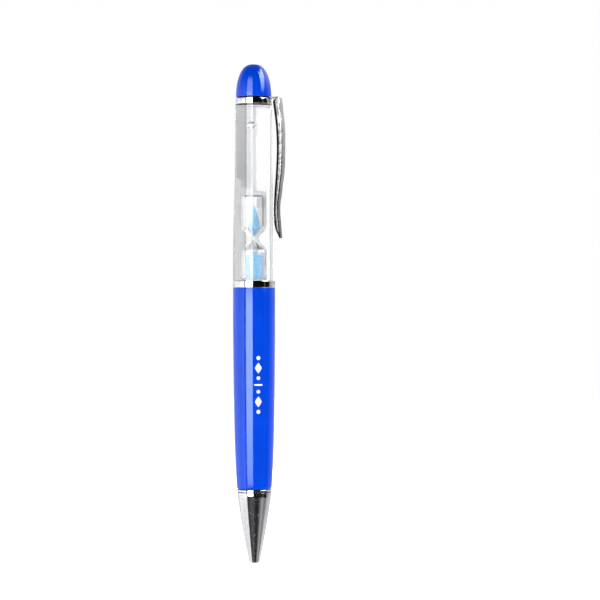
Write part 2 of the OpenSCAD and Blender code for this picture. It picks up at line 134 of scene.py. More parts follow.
def shells(name, parts, segs=176, sharp=38.0, wobble=None):
    """A mesh of revolved outlines. Each part is (outline, slots): millimetres, bottom to top on the outside, so that normals point out.
    slots is a function of an outline segment's middle that gives its material slot."""
    verts, faces, mat = [], [], []
    for P, slots in parts:
        P = [(max(r, 0.0), z) for r, z in P]
        keep = [P[0]]
        for p in P[1:]:
            if math.hypot(p[0] - keep[-1][0], p[1] - keep[-1][1]) > 1e-4:
                keep.append(p)
        if math.hypot(keep[0][0] - keep[-1][0], keep[0][1] - keep[-1][1]) < 1e-4:
            keep.pop()
        rings = []
        for r, z in keep:
            start = len(verts)
            if r < 1e-6:
                verts.append((0, 0, z * MM))
                rings.append((start, True))
            else:
                for j in range(segs):
                    t = 2 * math.pi * j / segs
                    rr, zz = wobble(r, t, z) if wobble else (r, z)
                    verts.append((rr * math.cos(t) * MM, rr * math.sin(t) * MM, zz * MM))
                rings.append((start, False))
        n = len(rings)
        for i in range(n):
            (a, pa), (b, pb) = rings[i], rings[(i + 1) % n]
            if pa and pb:
                continue
            mid = ((keep[i][0] + keep[(i + 1) % n][0]) / 2, (keep[i][1] + keep[(i + 1) % n][1]) / 2)
            s = slots(*mid) if slots else 0
            for j in range(segs):
                k = (j + 1) % segs
                if pa:
                    faces.append((a, b + k, b + j))
                elif pb:
                    faces.append((a + j, a + k, b))
                else:
                    faces.append((a + j, a + k, b + k, b + j))
                mat.append(s)
    me = bpy.data.meshes.new(name)
    me.from_pydata(verts, [], faces)
    me.polygons.foreach_set("material_index", mat)
    me.polygons.foreach_set("use_smooth", [True] * len(faces))
    me.set_sharp_from_angle(angle=math.radians(sharp))
    me.update()
    ob = bpy.data.objects.new(name, me)
    bpy.context.scene.collection.objects.link(ob)
    return ob


def mesh_object(name, verts, faces, smooth=True, sharp=38.0, mats=None):
    me = bpy.data.meshes.new(name)
    me.from_pydata([tuple(c * MM for c in v) for v in verts], [], faces)
    me.polygons.foreach_set("use_smooth", [smooth] * len(faces))
    if mats:
        me.polygons.foreach_set("material_index", mats)
    me.set_sharp_from_angle(angle=math.radians(sharp))
    me.update()
    ob = bpy.data.objects.new(name, me)
    bpy.context.scene.collection.objects.link(ob)
    return ob


# ------------------------------------------------------------------ materials
class Tree:
    def __init__(self, name):
        self.mat = bpy.data.materials.new(name)
        self.mat.use_nodes = True
        self.nt = self.mat.node_tree
        self.nt.nodes.clear()
        self.out = self.nt.nodes.new("ShaderNodeOutputMaterial")

    def add(self, kind, inputs=None, **props):
        n = self.nt.nodes.new("ShaderNode" + kind)
        for k, v in props.items():
            setattr(n, k, v)
        for k, v in (inputs or {}).items():
            if isinstance(v, bpy.types.NodeSocket):
                self.nt.links.new(v, n.inputs[k])
            else:
                n.inputs[k].default_value = v
        return n

    def ramp(self, fac, stops, mode="LINEAR"):
        n = self.add("ValToRGB", {"Fac": fac})
        n.color_ramp.interpolation = mode
        e = n.color_ramp.elements
        while len(e) < len(stops):
            e.new(0.5)
        for el, (p, c) in zip(e, stops):
            el.position = p
            el.color = (*c, 1) if len(c) == 3 else c
        return n.outputs["Color"]

    def noise(self, scale, detail=3.0, stretch=(1, 1, 1), rough=0.5):
        tc = self.add("TexCoord")
        mp = self.add("Mapping", {"Vector": tc.outputs["Object"], "Scale": stretch})
        return self.add("TexNoise", {"Vector": mp.outputs["Vector"], "Scale": scale, "Detail": detail, "Roughness": rough}).outputs["Fac"]

    def span(self, fac, lo, hi, a=0.3, b=0.7):
        return self.add("MapRange", {"Value": fac, "From Min": a, "From Max": b, "To Min": lo, "To Max": hi}).outputs["Result"]

    def bump(self, height, strength, distance):
        return self.add("Bump", {"Height": height, "Strength": strength, "Distance": distance}).outputs["Normal"]

    def surface(self, shader):
        self.nt.links.new(shader, self.out.inputs["Surface"])
        return self.mat


def blue_lacquer():
    t = Tree("blue_lacquer")
    big, fine = t.noise(160, 3), t.noise(2600, 2)
    col = t.ramp(big, [(0.3, (0.0, 0.048, 0.58)), (0.7, (0.0, 0.057, 0.66))])
    rough = t.span(t.noise(700, 4), 0.045, 0.11)
    p = t.add("BsdfPrincipled", {"Base Color": col, "Roughness": rough, "IOR": 1.53, "Specular Tint": (0.8, 1.0, 1.0, 1.0),
                                 "Normal": t.bump(fine, 0.035, 0.00004)})
    return t.surface(p.outputs[0])


def chrome(name="chrome_plate", base=(0.88, 0.88, 0.9), lo=0.02, hi=0.085, grain=0.05, dust=False):
    t = Tree(name)
    marks = t.noise(900, 6, (1, 1, 0.35), 0.65)
    col = t.ramp(marks, [(0.25, tuple(c * 0.93 for c in base)), (0.6, base)])
    p = t.add("BsdfPrincipled", {"Base Color": col, "Metallic": 1.0, "Roughness": t.span(marks, lo, hi),
                                 "Normal": t.bump(t.noise(2400, 4, (1, 1, 0.3)), grain, 0.00002)})
    if dust:                                              # specks of dust and fine scratches
        fleck = t.ramp(t.noise(3600, 2), [(0.62, (0, 0, 0)), (0.72, (1, 1, 1))])
        speck = t.add("SeparateColor", {"Color": fleck}).outputs[0]
        film = t.add("BsdfPrincipled", {"Base Color": (0.3, 0.31, 0.34, 1), "Roughness": 0.7})
        p = t.add("MixShader", {0: speck, 1: p.outputs[0], 2: film.outputs[0]})
    return t.surface(p.outputs[0])


def clip_steel(name="clip_steel", dark=0.42, light=0.8, fade=None):
    """Grained sheet steel. With fade, it is painted darker towards the bottom, down to fade times its colour below
    about 24 mm: painted shade.
    """
    t = Tree(name)
    streak = t.noise(1500, 5, (1, 1, 0.22), 0.7)
    fleck = t.noise(2600, 3, (1, 1, 0.6), 0.7)
    mix = t.add("Math", {0: streak, 1: fleck}, operation="MULTIPLY").outputs[0]
    col = t.ramp(mix, [(0.1, (dark * 0.55,) * 3), (0.24, (dark,) * 3), (0.42, (light, light, light * 0.99))])
    if fade:
        # painted shade: the colour is darker towards the clip's foot
        z = t.add("SeparateXYZ", {"Vector": t.add("TexCoord").outputs["Object"]}).outputs["Z"]
        stops = [(0.0, (fade,) * 3), (0.3, (fade,) * 3), (0.5, ((1 + fade) / 2,) * 3), (0.85, (1, 1, 1))]
        foot_shade = t.ramp(t.span(z, 0, 1, 0.012, 0.052), stops)
        col = t.add("Mix", {0: 1.0, 6: col, 7: foot_shade}, data_type="RGBA", blend_type="MULTIPLY").outputs[2]
    p = t.add("BsdfPrincipled", {"Base Color": col, "Metallic": 1.0, "Roughness": t.span(streak, 0.16, 0.34),
                                 "Normal": t.bump(mix, 0.5, 0.00006)})
    return t.surface(p.outputs[0])


def clear(name, ior, tint=(1.0, 1.0, 1.0), rough=0.0, speck=0.0, dust=0.0):
    """Clear plastic, liquid or glass. Lamps shine through it, so that what is inside is lit."""
    t = Tree(name)
    base = t.ramp(t.noise(300, 2), [(0.3, tuple(c * (1 - speck) for c in tint)), (0.7, tint)])
    p = t.add("BsdfPrincipled", {"Base Color": base, "Roughness": rough, "IOR": ior, "Transmission Weight": 1.0})
    if dust:                                              # a thin film of fine white dust
        weight = t.span(t.noise(2200, 3), dust * 0.5, dust * 1.5)
        t.nt.links.new(t.add("Math", {0: 1.0, 1: weight}, operation="SUBTRACT").outputs[0], p.inputs["Transmission Weight"])
    lp = t.add("LightPath")
    tr = t.add("BsdfTransparent", {"Color": (1, 1, 1, 1)})
    m = t.add("MixShader", {0: lp.outputs["Is Shadow Ray"], 1: p.outputs[0], 2: tr.outputs[0]})
    return t.surface(m.outputs[0])


def sand_material():
    t = Tree("blue_sand")
    tc = t.add("TexCoord")
    v = t.add("TexVoronoi", {"Vector": tc.outputs["Object"], "Scale": 6500.0})
    grain = t.add("SeparateColor", {"Color": v.outputs["Color"]}).outputs[0]
    col = t.ramp(grain, [(0.0, (0.02, 0.15, 0.44)), (0.35, (0.07, 0.32, 0.6)), (0.75, (0.14, 0.44, 0.7)), (1.0, (0.42, 0.68, 0.82))])
    p = t.add("BsdfPrincipled", {"Base Color": col, "Roughness": t.span(grain, 0.55, 0.9, 0, 1), "Sheen Weight": 0.1,
                                 "Normal": t.bump(v.outputs["Distance"], 0.6, 0.00008)})
    return t.surface(p.outputs[0])


def plastic(name, a, b, lo, hi, scale=900):
    t = Tree(name)
    n = t.noise(scale, 3)
    p = t.add("BsdfPrincipled", {"Base Color": t.ramp(n, [(0.3, a), (0.7, b)]), "Roughness": t.span(n, lo, hi),
                                 "Normal": t.bump(t.noise(scale * 3, 2), 0.12, 0.00003)})
    return t.surface(p.outputs[0])


def turned(name, a, b, lo, hi):
    """Turned metal: fine rings round the axis."""
    t = Tree(name)
    n = t.noise(1800, 4, (0.08, 0.08, 1.4), 0.6)
    p = t.add("BsdfPrincipled", {"Base Color": t.ramp(n, [(0.3, a), (0.7, b)]), "Metallic": 1.0, "Roughness": t.span(n, lo, hi),
                                 "Normal": t.bump(n, 0.2, 0.00003)})
    return t.surface(p.outputs[0])


BLUE = blue_lacquer()
CHROME = chrome()
PITTED = chrome("chrome_plate_handled", (0.9, 0.9, 0.92), 0.03, 0.1, 0.5, True)
# the clip's face; fade 0.3 paints its foot darker, as painted shade
CLIP = clip_steel("clip_steel", 0.66, 0.98, 0.3)
# the flanges' sides: the clip's own steel painted much darker, as painted shade; fade 0.5 also darkens their foot
FLANGE_SHADE = clip_steel("clip_flange_painted_shade", 0.07, 0.27, 0.5)
# near black: the sheet's cut edge, and a painted shadow line along each flange's edge
EDGE_AND_SHADOW_LINE = clip_steel("clip_sheared_edge_and_shadow_line", 0.001, 0.006)
# near-black steel: painted shade, the dark line under the cap
WASHER_SHADE = clip_steel("washer_steel_painted_shade", 0.01, 0.03)
ACRYLIC = clear("acrylic", N_ACRYLIC, (0.995, 0.997, 1.0), speck=0.004)
BORE = clear("acrylic_to_oil", N_ACRYLIC / N_OIL, (0.995, 0.997, 1.0), speck=0.004)
OIL = clear("oil", 1.0, (0.992, 0.994, 0.997), speck=0.003)
BUBBLE = clear("bubble_wall", N_OIL, (1, 1, 1), speck=0.002)
VIAL_OUT = clear("vial_glass_in_oil", 1.11, (0.985, 0.995, 1.0), speck=0.01)
VIAL_IN = clear("vial_glass_inside", 1.53, (0.985, 0.995, 1.0), speck=0.01, dust=0.1)
PLUG = clear("acrylic_plug", 1.001, (0.995, 0.997, 1.0), speck=0.004)
SILICONE = clear("clear_silicone", 1.03, (0.97, 0.975, 0.98), rough=0.03, speck=0.01)
SAND = sand_material()
PRINT = plastic("white_print", (0.86, 0.87, 0.9), (0.95, 0.95, 0.97), 0.3, 0.5, 1800)
WHITE = plastic("white_plastic", (0.78, 0.78, 0.76), (0.86, 0.86, 0.84), 0.3, 0.45)
# near black, on the recessed step at the barrel's lower end and in the groove under the nose's rim: painted shadow
SHADOW = plastic("painted_shadow_step", (0.006, 0.006, 0.012), (0.012, 0.012, 0.02), 0.4, 0.6)
BLACK = plastic("black_plastic", (0.012, 0.012, 0.014), (0.03, 0.03, 0.033), 0.3, 0.5)
RUBBER = plastic("black_rubber", (0.01, 0.01, 0.01), (0.025, 0.025, 0.026), 0.55, 0.8, 1500)
BRASS = turned("turned_brass", (0.66, 0.46, 0.17), (0.83, 0.64, 0.3), 0.15, 0.32)
POINT = turned("nickel_silver", (0.55, 0.5, 0.4), (0.74, 0.7, 0.6), 0.12, 0.28)
STEEL = turned("spring_wire", (0.5, 0.5, 0.52), (0.75, 0.75, 0.77), 0.15, 0.3)
TUBE = plastic("refill_polymer", (0.72, 0.74, 0.78), (0.82, 0.84, 0.86), 0.2, 0.35)
INK = plastic("ink", (0.004, 0.008, 0.12), (0.01, 0.015, 0.2), 0.05, 0.15)


def dress(ob, *mats):
    for m in mats:                                        # a new mesh has no slots yet, and clearing them would reset the faces' slots
        ob.data.materials.append(m)
    return ob


def place(ob, body, slot, *nodes):
    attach(ob, body)
    if nodes:
        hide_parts(*nodes)
    return ob


# ------------------------------------------------------------------ cap end
cap_r, cap_len = 5.0, Z_CAP1 - Z_CAP0
dome = [(cap_r * math.cos(t) ** 0.75 if t < math.pi / 2 - 1e-6 else 0.0, Z_CAP0 + 0.1 + (cap_len - 0.1) * math.sin(t)) for t in [math.pi / 2 * i / 72 for i in range(73)]]
inside = [(4.3 * math.cos(t) if t < math.pi / 2 - 1e-6 else 0.0, Z_NECK + 1.15 + (Z_CAP1 - 1.4 - Z_NECK - 1.15) * math.sin(t)) for t in [math.pi / 2 * i / 24 for i in range(25)]]
outline = [(4.3, Z_CAP0)] + arc((cap_r - 0.1, Z_CAP0 + 0.1), 0.1, -90, 0, 5) + dome[1:] + inside[::-1]
place(dress(shells("end_cap_dome", [(outline, None)]), BLUE), "upper", "blue_plastic", "end_cap")


def band(r0, r1, a, b, e, n=5):
    """A ring's outline, with rounded outer edges."""
    return fillet([(r0, a), (r1, a), (r1, b), (r0, b)], {1: e, 2: e}, n)


place(dress(shells("cap_trim_ring", [(band(4.27, 5.06, Z_CR0, Z_CR1, 0.07), None)]), CHROME), "upper", "chrome_trim", "cap_ring")
# the washer under the cap in near-black steel: painted shade
place(dress(shells("clip_washer", [(band(4.3, 4.72, Z_W0, Z_W1, 0.04), None)]), WASHER_SHADE), "upper", "clip_steel", "clip_bracket")
place(dress(shells("centre_trim_ring", [(band(4.77, 5.95, Z_RING0, Z_RING1, 0.14), None)]), CHROME), "upper", "chrome_trim", "centre_ring")

# ------------------------------------------------------------------ pocket clip
T = 0.38
zc = (Z_W0 + Z_W1) / 2
def lerp_xy(P, v):
    return float(np.interp(v, [q[0] for q in P], [q[1] for q in P]))


out_pts = [(7.8, 0.0), (7.83, 0.7), (8.03, 2.0), (8.22, 4.2), (8.55, 6.9), (8.7, 9.6), (8.72, 12.8), (8.68, 16.4), (8.55, 19.7), (8.33, 22.3),
           (8.02, 24.5), (7.75, 27.2), (7.43, 29.3), (7.32, 30.9), (7.37, 32.9), (7.53, 34.8), (7.71, 37.1), (7.95, 39.4)]
in_pts = curve([(5.95, 0.75), (6.1, 1.9), (6.42, 4.2), (6.8, 7.4), (7.02, 10.6), (7.1, 14.0), (7.03, 17.5), (6.85, 20.7), (6.7, 22.9), (6.4, 26.1), (6.2, 29.3),
                (6.16, 31.5), (6.18, 33.4), (6.3, 35.5), (6.62, 37.0), (7.25, 38.5), (7.66, 39.5)], 6)
out_at = [(d, x) for x, d in curve(out_pts, 6)]
depth_pts = [(-0.4, T + 0.02), (0.1, 0.62), (0.45, 1.35)] + [(d, lerp_xy(out_at, d) - x) for x, d in in_pts if 0.75 < d < 39.0] + [(39.5, T + 0.02)]
width_pts = [(-3.0, 3.3), (-0.6, 3.7), (0.6, 4.1), (2.0, 4.2), (19, 4.2), (22.5, 4.1), (26, 3.8), (30.9, 3.4), (35, 3.45), (37.5, 3.3), (39.0, 2.7), (39.6, 2.2)]


def lerp(P, v):
    return float(np.interp(v, [p[0] for p in P], [p[1] for p in P]))


path = [(x, zc + T / 2 - 0.01, None) for x in np.linspace(4.9, 7.15, 8)]
for k in range(1, 9):                                     # the bend
    a = math.pi / 2 * (1 - k / 9)
    path.append((7.18 + 0.62 * math.cos(a), zc + T / 2 - 0.01 - 0.62 + 0.62 * math.sin(a), None))
path = [(x, z) for x, z, _ in path] + [(x, zc - d) for x, d in curve(out_pts[1:], 6)]
P = np.array(path)
tan = np.gradient(P, axis=0)
tan /= np.linalg.norm(tan, axis=1)[:, None]
nor = np.stack([-tan[:, 1], tan[:, 0]], 1)                # outward: up over the tab, away from the pen down the clip
verts, faces, mats = [], [], []
SEC = None
for i, (x, z) in enumerate(P):
    s = (x - 7.8) if z > zc and x < 7.2 else (zc - z)
    w, d = lerp(width_pts, s), max(lerp(depth_pts, s), T + 0.02)
    edge = min(0.62, 0.4 * d)                             # band along the flange's edge, given the near-black slot as a painted shadow line
    ro = min(0.42, (d - edge) * 0.7)
    sec = [(-w / 2 + T, -d), (-w / 2, -d), (-w / 2, -d + edge), (-w / 2, 0), (w / 2, 0), (w / 2, -d + edge), (w / 2, -d), (w / 2 - T, -d), (w / 2 - T, -T), (-w / 2 + T, -T)]
    full = []
    for k, q in enumerate(sec):
        if k in (3, 4):
            c = (q[0] + (ro if k == 3 else -ro), q[1] - ro)
            a0, a1 = (180, 90) if k == 3 else (90, 0)
            full += [(c[0] + ro * math.cos(math.radians(a0 + (a1 - a0) * m / 7)), c[1] + ro * math.sin(math.radians(a0 + (a1 - a0) * m / 7))) for m in range(8)]
        else:
            full.append(q)
    if SEC is None:
        SEC = len(full)
    for y, n in full:
        verts.append((x + nor[i, 0] * n, y, z + nor[i, 1] * n))
rows = len(P)
for i in range(rows - 1):
    for k in range(SEC):
        a, b = i * SEC + k, i * SEC + (k + 1) % SEC
        faces.append((a, a + SEC, b + SEC, b))
        # slot 1, near black: the cut edge and the band along each flange's edge, a painted shadow line; slot 2: the
        # flanges' sides, painted shade
        mats.append(1 if k in (0, 1, 19, 20) else 2 if k in (2, 18) else 0)
first, last = 0, (rows - 1) * SEC
cap0, cap1 = [first + k for k in range(SEC)], [last + k for k in range(SEC)]
faces += [tuple(cap0), tuple(cap1[::-1])]
mats += [1, 1]
clip = mesh_object("pocket_clip_channel", verts, faces, mats=mats, sharp=42)
bev = clip.modifiers.new("edges", "BEVEL")
bev.width, bev.segments, bev.limit_method, bev.angle_limit = 0.05 * MM, 2, "ANGLE", math.radians(50)
dress(clip, CLIP, EDGE_AND_SHADOW_LINE, FLANGE_SHADE)
bpy.context.view_layer.objects.active = clip
clip.select_set(True)
bpy.ops.object.modifier_apply(modifier="edges")
clip.select_set(False)
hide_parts("pocket_clip")
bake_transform(clip)

# the dimple that bears on a pocket's cloth
dz = zc - 32.6
dim_v, dim_f = [], []
for i in range(9):
    a = math.pi / 2 * i / 8
    for j in range(28):
        b = 2 * math.pi * j / 28
        dim_v.append((6.98 - 1.08 * math.sin(a) - 0.03, 0.78 * math.cos(a) * math.cos(b), dz + 0.78 * math.cos(a) * math.sin(b)))
for i in range(8):
    for j in range(28):
        dim_f.append((i * 28 + j, i * 28 + (j + 1) % 28, (i + 1) * 28 + (j + 1) % 28, (i + 1) * 28 + j))
dim_f.append(tuple(range(27, -1, -1)))
place(dress(mesh_object("clip_dimple", dim_v, dim_f), CLIP), "clip", "clip_steel")

# ------------------------------------------------------------------ clear barrel, oil and plug
window = [(5.15 + r, Z_WIN0 + s * (Z_WIN1 - Z_WIN0)) for r, s in curve([(0.73, 0), (0.72, 0.06), (0.65, 0.23), (0.45, 0.434), (0.27, 0.537), (0.15, 0.63), (0.06, 0.855), (0, 1)], 14)]
outline = ([(BORE_R, Z_SPIGOT), (4.55, Z_SPIGOT), (4.75, Z_SPIGOT + 0.2), (4.75, -7.12), (4.35, -7.12), (4.35, -6.08), (4.75, -6.08),
            (4.75, -3.7), (4.35, -3.6), (4.35, -2.9), (4.75, -2.8), (4.75, Z_WIN0 - 0.02), (5.8, Z_WIN0 - 0.02)]
           + window + [(4.25, Z_WIN1), (4.25, Z_NECK), (BORE_R, Z_NECK)])
barrel = shells("clear_barrel_shell", [(outline, lambda r, z: 1 if abs(r - BORE_R) < 0.01 else 0)], 224)
place(dress(barrel, ACRYLIC, BORE), "upper", "clear_acrylic", "clear_barrel")

b_r = 1.02
bc = RIGHT * -0.52 + TOWARD * 2.5 + Vector((0, 0, 45.4))
oil_top = Z_OIL1 + 0.03
oil = shells("clear_oil_fill", [(fillet([(0, Z_OIL0), (BORE_R - 0.03, Z_OIL0), (BORE_R - 0.03, oil_top), (0, oil_top)], {1: 0.05, 2: 0.01}, 3), None)], 128)
place(dress(oil, OIL), "upper", "clear_oil", "clear_oil")

# the air bubble: a little taller than wide, and fuller above than below. The rising vial flattens it against the plug
bm = bmesh.new()
bmesh.ops.create_uvsphere(bm, u_segments=64, v_segments=40, radius=b_r)
for v in bm.verts:
    c = v.co.z / b_r
    v.co = Vector((v.co.x * (1 + 0.02 * c), v.co.y * (1 + 0.02 * c), v.co.z * 1.06)) + bc
bmesh.ops.recalc_face_normals(bm, faces=bm.faces)
bmesh.ops.reverse_faces(bm, faces=bm.faces)               # the normals point into the bubble
for f in bm.faces:
    f.smooth = True
me = bpy.data.meshes.new("air_bubble")
bm.transform(Matrix.Scale(MM, 4))
bm.to_mesh(me)
bm.free()
bubble = bpy.data.objects.new("air_bubble", me)
bpy.context.scene.collection.objects.link(bubble)
place(dress(bubble, BUBBLE), "upper", "clear_oil", "clear_oil")
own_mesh(bubble)

outline = fillet([(0, Z_PLUG0), (BORE_R - 0.05, Z_PLUG0), (BORE_R - 0.05, Z_PLUG0 + 2.0), (BORE_R - 0.55, Z_PLUG0 + 2.05), (BORE_R - 0.55, Z_PLUG0 + 2.75),
                  (BORE_R - 0.05, Z_PLUG0 + 2.8), (BORE_R - 0.05, Z_NECK + 0.05), (4.2, Z_NECK + 0.05), (4.2, Z_PLUG1), (0, Z_PLUG1)], {1: 0.25, 7: 0.1, 8: 0.1}, 5)
place(dress(shells("fill_plug_clear", [(outline, None)], 128), PLUG), "upper", "clear_acrylic", "fill_plug")

# ------------------------------------------------------------------ hourglass
half = (Z_VIAL1 - Z_VIAL0) / 2
zw = (Z_VIAL0 + Z_VIAL1) / 2
R_OUT, R_IN, T_TOP, T_BASE, R_ORI = 2.7, 2.4, 1.0, 1.6, 0.3
vo = curve([(1.0, 0), (1.1, 0.6), (1.5, 1.4), (2.1, 2.3), (R_OUT - 0.12, 3.1), (R_OUT, 3.9)], 10)
vi = curve([(R_ORI, 0), (R_ORI + 0.04, 0.5), (0.85, 1.35), (1.55, 2.3), (R_IN - 0.16, 3.2), (R_IN, 4.0)], 10)


def vial_out():
    top = arc((R_OUT - 0.9, half - 0.9), 0.9, 0, 90, 14) + [(0, half)]
    return [(r, zw - z) for r, z in (vo + top)[::-1]] + [(r, zw + z) for r, z in (vo + top)[1:]]


def bulb_in(t):
    return vi + arc((R_IN - 0.6, half - t - 0.6), 0.6, 0, 90, 10) + [(0, half - t)]


inner = [(r, zw - z) for r, z in bulb_in(T_BASE)[::-1]] + [(r, zw + z) for r, z in bulb_in(T_TOP)[1:]]
vial = shells("hourglass_vial", [(vial_out(), lambda r, z: 0), (inner[::-1], lambda r, z: 1)], 192)
place(dress(vial, VIAL_OUT, VIAL_IN), "hourglass", "vial_glass", "hourglass_glass")

random.seed(7)
table = {}


def grains(amount):
    rnd = random.Random(11)
    ph = [(rnd.uniform(0, 6.28), rnd.randint(3, 31), rnd.uniform(2, 14), rnd.uniform(0.3, 1)) for _ in range(26)]

    def f(r, t, z):
        v = sum(a * math.sin(k * t + s * z + p) for p, k, s, a in ph) / 9
        return max(0.02, r + amount * min(1, r) * max(-1.0, min(0.35, v)) - amount * 0.4), z + amount * 0.7 * math.sin(5 * t + 9 * r) * (1 if r > 0.1 else 0)
    return f


low_wall = [(r - 0.03, z) for r, z in bulb_in(T_BASE) if 4.7 < z < half - T_BASE - 0.01]
z_floor = zw - half + T_BASE + 0.05
outline = ([(0, z_floor)] + [(r, max(zw - z, z_floor)) for r, z in low_wall[::-1]] + [(R_IN - 0.03, zw - 4.75)]
           + [(r, zw - z) for r, z in curve([(R_IN - 0.05, 4.62), (1.5, 4.3), (0.8, 3.85), (0.3, 3.5), (0, 3.4)], 6)])
dense = []
for a, b in zip(outline, outline[1:]):
    n = max(1, int(math.hypot(b[0] - a[0], b[1] - a[1]) / 0.16))
    dense += [(a[0] + (b[0] - a[0]) * k / n, a[1] + (b[1] - a[1]) * k / n) for k in range(n)]
dense.append(outline[-1])
place(dress(shells("sand_lower_heap", [(dense, None)], 120, 80, grains(0.035)), SAND), "hourglass", "blue_sand", "sand_lower")

up_wall = [(r - 0.03, zw + z) for r, z in vi if 0.9 < z < 2.6]
outline = ([(0, zw + 0.75), (R_ORI - 0.03, zw + 0.75)] + up_wall
           + [(r, zw + z) for r, z in curve([(1.74, 3.0), (1.6, 4.0), (1.38, 5.0), (1.14, 6.0), (0.88, 7.0), (0.61, 8.0), (0.33, 8.85), (0, 9.3)], 6)])
dense = []
for a, b in zip(outline, outline[1:]):
    n = max(1, int(math.hypot(b[0] - a[0], b[1] - a[1]) / 0.16))
    dense += [(a[0] + (b[0] - a[0]) * k / n, a[1] + (b[1] - a[1]) * k / n) for k in range(n)]
dense.append(outline[-1])
place(dress(shells("sand_upper_heap", [(dense, None)], 120, 80, grains(0.035)), SAND), "hourglass", "blue_sand", "sand_upper")

# ------------------------------------------------------------------ lower barrel, its print, and the nose
grip_pts = [(1.13, 0), (1.01, 0.9), (0.8, 4.3), (0.59, 9.4), (0.36, 16.7), (0.18, 27.9), (0.05, 39.7), (0, 45.5)]
grip = [(5.93 - r, Z_LOW + s * (Z_MID - Z_LOW - 11.2) / 45.5) for r, s in curve(grip_pts, 12)]
outline = ([(4.15, Z_LOW), (4.55, Z_LOW), (4.55, Z_LOW + 0.42), (4.8, Z_LOW + 0.42), (4.85, Z_LOW + 0.47)] + [q for q in grip if q[1] > Z_LOW + 0.6] + arc((5.93 - 0.07, Z_MID - 0.07), 0.07, 0, 90, 4)
           + [(4.87, Z_MID), (4.87, -6.1), (5.25, -6.1), (5.25, -7.1), (4.87, -7.1), (4.87, Z_LOW + 25.3), (4.15, Z_LOW + 25.3)])
# slot 1, near black: the recessed step at the barrel's lower end, a painted shadow line
place(dress(shells("lower_barrel_shell", [(outline, lambda r, z: 1 if z < Z_LOW + 0.43 and r < 4.79 else 0)], 224), BLUE, SHADOW), "lower", "blue_plastic", "lower_barrel")


def grip_radius(z):
    zz = [p[1] for p in grip] + [Z_MID]
    rr = [p[0] for p in grip] + [5.93]
    return float(np.interp(z, zz, rr))


# a plain row of lozenges and bars in white pad print, along the barrel
print_az = math.radians(-65.0)
pv, pf = [], []


def pad(cz, hw, hz, power):
    """One printed mark: a rounded lozenge, half hw wide round the barrel and half hz tall."""
    start, rings, seg = len(pv), 5, 40
    for i in range(rings + 1):
        for j in range(seg):
            a = 2 * math.pi * j / seg
            ca, sa = math.cos(a), math.sin(a)
            k = (abs(ca) ** power + abs(sa) ** power) ** (-1 / power) * i / rings
            u, z = hw * ca * k, cz + hz * sa * k
            r = grip_radius(z) + 0.012 - (0.01 if i == rings else 0)
            t = print_az + u / r
            pv.append((r * math.cos(t), r * math.sin(t), z))
    for i in range(rings):
        for j in range(seg):
            a, b = start + i * seg + j, start + i * seg + (j + 1) % seg
            pf.append((a, a + seg, b + seg, b))


for k, (z, hw, hz, pw) in enumerate([(-19.6, 0.55, 0.55, 2.0), (-22.4, 0.95, 1.45, 1.15), (-25.2, 0.5, 0.5, 2.0), (-27.1, 1.2, 0.22, 5.0), (-29.0, 0.5, 0.5, 2.0),
                                     (-31.8, 0.95, 1.45, 1.15), (-34.6, 0.55, 0.55, 2.0)]):
    pad(z, hw, hz, pw)
ornament = mesh_object("printed_ornament", pv, pf)
bm = bmesh.new()
bm.from_mesh(ornament.data)
bmesh.ops.remove_doubles(bm, verts=bm.verts, dist=1e-7)
bm.to_mesh(ornament.data)
bm.free()
place(dress(ornament, PRINT), "lower", "white_plastic")

cone = [(1.45 + 3.29 * k / 40 + 0.17 * math.sin(math.pi * k / 40), Z_TIP + 0.12 + (Z_RIM - 1.75 - Z_TIP - 0.12) * k / 40) for k in range(41)]
outline = ([(1.2, Z_TIP)] + arc((1.45 - 0.1, Z_TIP + 0.1), 0.1, -90, -8, 5) + cone[1:]
           + [(4.765, Z_RIM - 1.2), (4.785, Z_RIM - 0.75), (4.77, Z_RIM - 0.68), (4.62, Z_RIM - 0.64), (4.62, Z_RIM - 0.47)]
           + fillet([(4.62, Z_RIM - 0.45), (4.93, Z_RIM - 0.45), (4.93, Z_RIM + 0.15), (4.6, Z_RIM + 0.15)], {1: 0.1, 2: 0.1}, 6, False)
           + [(4.6, Z_RIM), (3.4, Z_RIM), (3.4, Z_RIM + 0.9)])
for k in range(8):
    z = Z_RIM + 1.0 + 0.7 * k
    outline += [(3.27, z), (3.52, z + 0.24), (3.55, z + 0.28), (3.52, z + 0.32), (3.27, z + 0.56)]
outline += [(3.25, Z_RIM + 6.9), (2.28, Z_RIM + 6.9), (2.28, Z_TIP + 9.3), (1.62, Z_TIP + 9.3), (1.62, Z_TIP + 2.3), (1.2, Z_TIP + 2.3)]
# slot 1, near black: the groove under the nose's rim, a painted shadow line
place(dress(shells("nose_cone_shell", [(outline, lambda r, z: 1 if Z_RIM - 0.67 < z < Z_RIM - 0.44 and 4.5 < r < 4.9 else 0)], 224), PITTED, SHADOW), "nose", "chrome_trim", "nose_cone")

